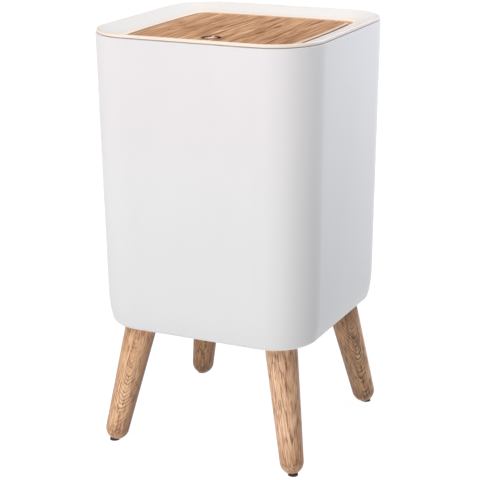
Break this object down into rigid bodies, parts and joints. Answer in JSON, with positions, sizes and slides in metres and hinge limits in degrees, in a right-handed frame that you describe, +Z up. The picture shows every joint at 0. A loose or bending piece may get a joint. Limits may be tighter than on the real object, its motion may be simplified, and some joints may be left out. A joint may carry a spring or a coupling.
{
  "type": "push-top bin",
  "caption": "Square, gently tapered waste bin with rounded corners, a recessed press-to-open wood-effect lid in a lift-off cover, and splayed turned wooden legs.",
  "frame": {"origin": "on the floor, under the centre of the bin", "axes": "+Z up; -Y is the front, the edge of the lid that is pressed; +X is to the right seen from the front"},
  "size_m": [0.24, 0.24, 0.4324],
  "materials": {
    "shell_white": "fine matt, very slightly warm white moulded polypropylene",
    "cover_cream": "matt cream-white moulded plastic",
    "leg_wood": "turned light wood, thin clear coat, grain along the leg",
    "lid_wood": "printed light wood effect with the grain running front to back",
    "mark_brown": "dark brown inlaid disc",
    "pad_rubber": "near-black rubber",
    "steel": "bright zinc-plated steel",
    "spring_steel": "drawn spring wire",
    "brass": "turned brass",
    "magnet": "nickel-plated magnet",
    "latch_grey": "grey acetal",
    "damper_dark": "black nylon"
  },
  "bodies": {
    "bin": {"body_shell": "shell_white", "leg_front_left": "leg_wood", "leg_front_right": "leg_wood", "leg_rear_left": "leg_wood", "leg_rear_right": "leg_wood", "leg_inserts": "brass", "leg_studs": "steel", "foot_pad_front_left": "pad_rubber", "foot_pad_front_right": "pad_rubber", "foot_pad_rear_left": "pad_rubber", "foot_pad_rear_right": "pad_rubber"},
    "cover": {"cover_frame": "cover_cream", "latch_housing": "latch_grey", "latch_cap": "latch_grey", "latch_screws": "steel", "latch_spring": "spring_steel", "hinge_spring_left": "spring_steel", "hinge_spring_right": "spring_steel", "damper_housing": "damper_dark", "damper_cap": "damper_dark", "damper_screws": "steel"},
    "hinge": {"hinge_pin_left": "steel", "hinge_pin_right": "steel"},
    "lid": {"lid_tray": "cover_cream", "lid_wood_panel": "lid_wood", "push_mark": "mark_brown", "lid_liner": "cover_cream", "lid_liner_screws": "steel", "strike_plate": "steel", "strike_screws": "steel", "damper_rotor": "damper_dark"},
    "plunger": {"latch_plunger": "latch_grey", "latch_magnet": "magnet"}
  },
  "joints": [
    {"name": "cover_lift", "type": "slide", "parent": "bin", "child": "cover", "axis": [0, 0, 1], "range_m": [0, 0.06]},
    {"name": "lid_press", "type": "hinge", "parent": "cover", "child": "hinge", "pos_m": [0, 0.1, 0.4194], "axis": [-1, 0, 0], "range_deg": [-1.2, 0], "stiffness_Nm_per_rad": 20, "springref_deg": 1.72},
    {"name": "lid_open", "type": "hinge", "parent": "hinge", "child": "lid", "pos_m": [0, 0.1, 0.4194], "axis": [-1, 0, 0], "range_deg": [0, 78]},
    {"name": "latch_travel", "type": "slide", "parent": "cover", "child": "plunger", "axis": [0, 0, 1], "range_m": [-0.00375, 0], "deforming": ["latch_spring"]}
  ],
  "couplings": [
    {"joint": "latch_travel", "follows": "lid_press", "m_per_rad": 0.179}
  ]
}
